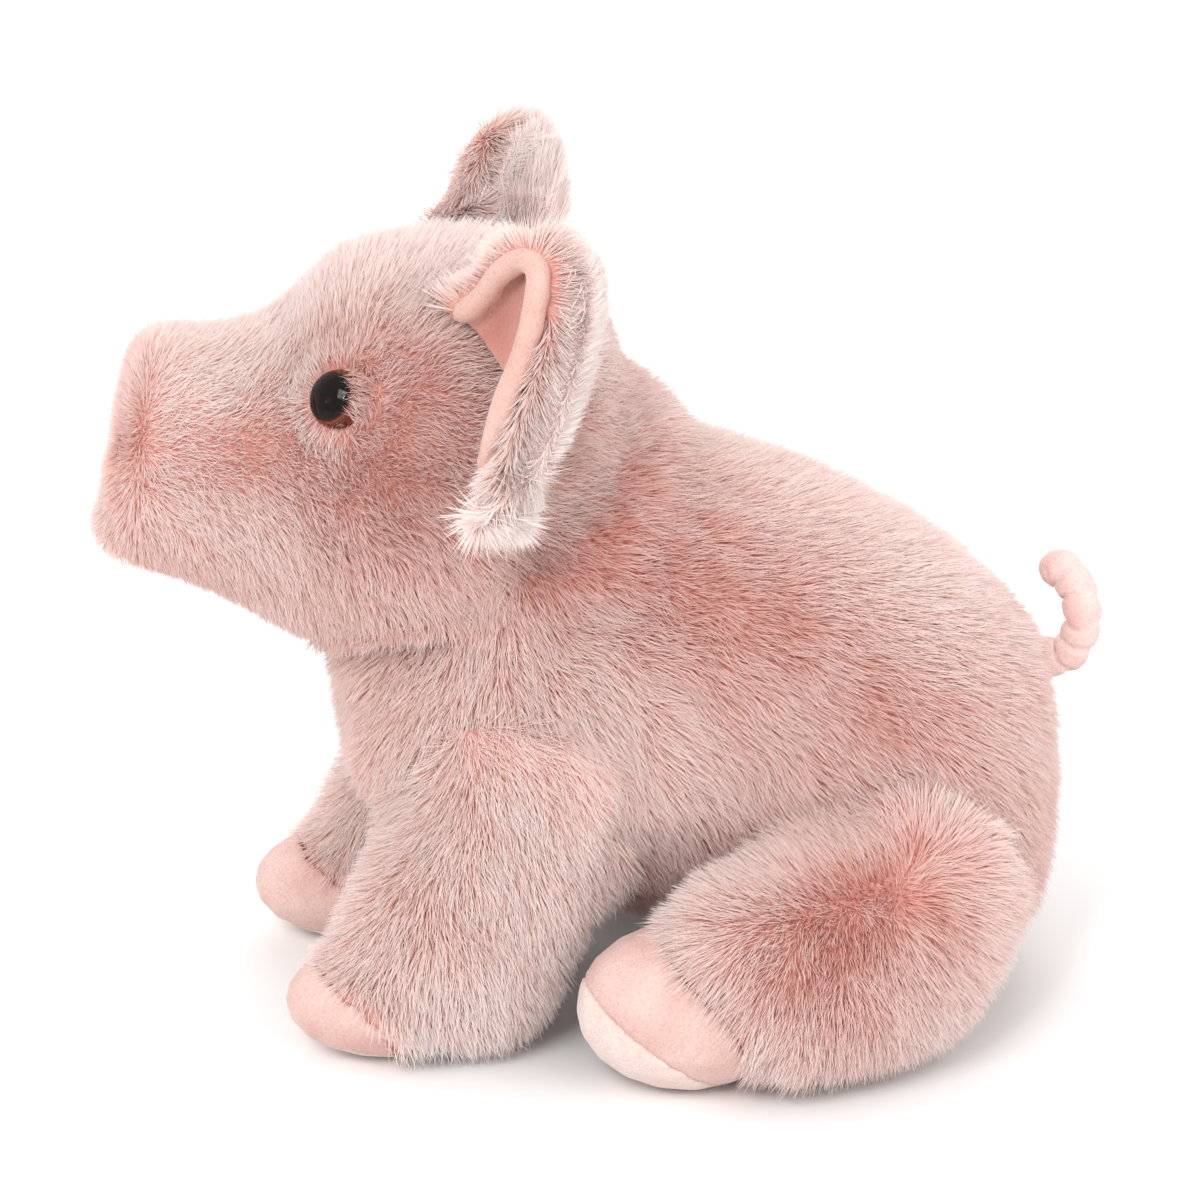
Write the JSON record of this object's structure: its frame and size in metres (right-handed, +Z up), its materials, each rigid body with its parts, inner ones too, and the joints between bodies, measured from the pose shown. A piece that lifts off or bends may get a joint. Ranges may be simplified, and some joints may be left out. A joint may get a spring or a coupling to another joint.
{
  "type": "plush pig",
  "caption": "Sitting stuffed piglet in long frosted pink fur, with smooth hooves, folded lined ears, glossy eyes and a curled gathered tail.",
  "frame": {"origin": "middle of the bounding box on the surface that the piglet sits on", "axes": "+Z up, nose toward -X, the piglet's own left side toward -Y"},
  "size_m": [0.279, 0.2106, 0.2393],
  "materials": {
    "fur": "long frosted faux fur, dusky rose at the root and pale pink at the tips",
    "ear_fur": "long frosted faux fur with whitish tips",
    "smooth_plush": "short smooth plush, pale peach",
    "sole_plush": "short smooth plush, cream",
    "ear_lining": "short smooth plush, peach",
    "thread": "satin-stitched thread, rose brown",
    "amber_plastic": "clear amber, polished",
    "black_plastic": "black, polished",
    "washer_plastic": "natural nylon"
  },
  "bodies": {
    "torso": {"body": "fur"},
    "head": {"head": "fur", "nose_panel": "fur", "nostril_left": "thread", "eye_lens_left": "amber_plastic", "eye_back_left": "black_plastic", "eye_washer_left": "washer_plastic", "nostril_right": "thread", "eye_lens_right": "amber_plastic", "eye_back_right": "black_plastic", "eye_washer_right": "washer_plastic"},
    "ear_left": {"ear_back_left": "ear_fur", "ear_lining_left": "ear_lining"},
    "front_leg_left": {"front_leg_left": "fur", "front_hoof_left": "smooth_plush", "front_sole_left": "sole_plush"},
    "hind_leg_left": {"hind_leg_left": "fur", "hind_hoof_left": "smooth_plush", "hind_sole_left": "sole_plush"},
    "ear_right": {"ear_back_right": "ear_fur", "ear_lining_right": "ear_lining"},
    "front_leg_right": {"front_leg_right": "fur", "front_hoof_right": "smooth_plush", "front_sole_right": "sole_plush"},
    "hind_leg_right": {"hind_leg_right": "fur", "hind_hoof_right": "smooth_plush", "hind_sole_right": "sole_plush"},
    "tail": {"tail": "smooth_plush"}
  },
  "joints": [
    {"name": "neck", "type": "hinge", "parent": "torso", "child": "head", "pos_m": [-0.00999, 0, 0.1285], "axis": [0, 1, 0], "range_deg": [-10, 8], "stiffness_Nm_per_rad": 6},
    {"name": "ear_left_fold", "type": "hinge", "parent": "head", "child": "ear_left", "pos_m": [-0.00899, -0.028, 0.21], "axis": [-1, 0, 0], "range_deg": [-5, 30], "stiffness_Nm_per_rad": 0.3},
    {"name": "shoulder_left", "type": "hinge", "parent": "torso", "child": "front_leg_left", "pos_m": [-0.01799, -0.043, 0.086], "axis": [0, 1, 0], "range_deg": [-2, 24], "stiffness_Nm_per_rad": 4},
    {"name": "hip_left", "type": "hinge", "parent": "torso", "child": "hind_leg_left", "pos_m": [0.09201, -0.046, 0.038], "axis": [0, 1, 0], "range_deg": [-12, 5], "stiffness_Nm_per_rad": 4},
    {"name": "ear_right_fold", "type": "hinge", "parent": "head", "child": "ear_right", "pos_m": [-0.00899, 0.028, 0.21], "axis": [1, 0, 0], "range_deg": [-5, 30], "stiffness_Nm_per_rad": 0.3},
    {"name": "shoulder_right", "type": "hinge", "parent": "torso", "child": "front_leg_right", "pos_m": [-0.01799, 0.036, 0.086], "axis": [0, 1, 0], "range_deg": [-2, 24], "stiffness_Nm_per_rad": 4},
    {"name": "hip_right", "type": "hinge", "parent": "torso", "child": "hind_leg_right", "pos_m": [0.09201, 0.046, 0.038], "axis": [0, 1, 0], "range_deg": [-12, 5], "stiffness_Nm_per_rad": 4},
    {"name": "tail_swing", "type": "hinge", "parent": "torso", "child": "tail", "pos_m": [0.12401, 0, 0.089], "axis": [0, 0, 1], "range_deg": [-20, 20], "stiffness_Nm_per_rad": 0.15}
  ]
}
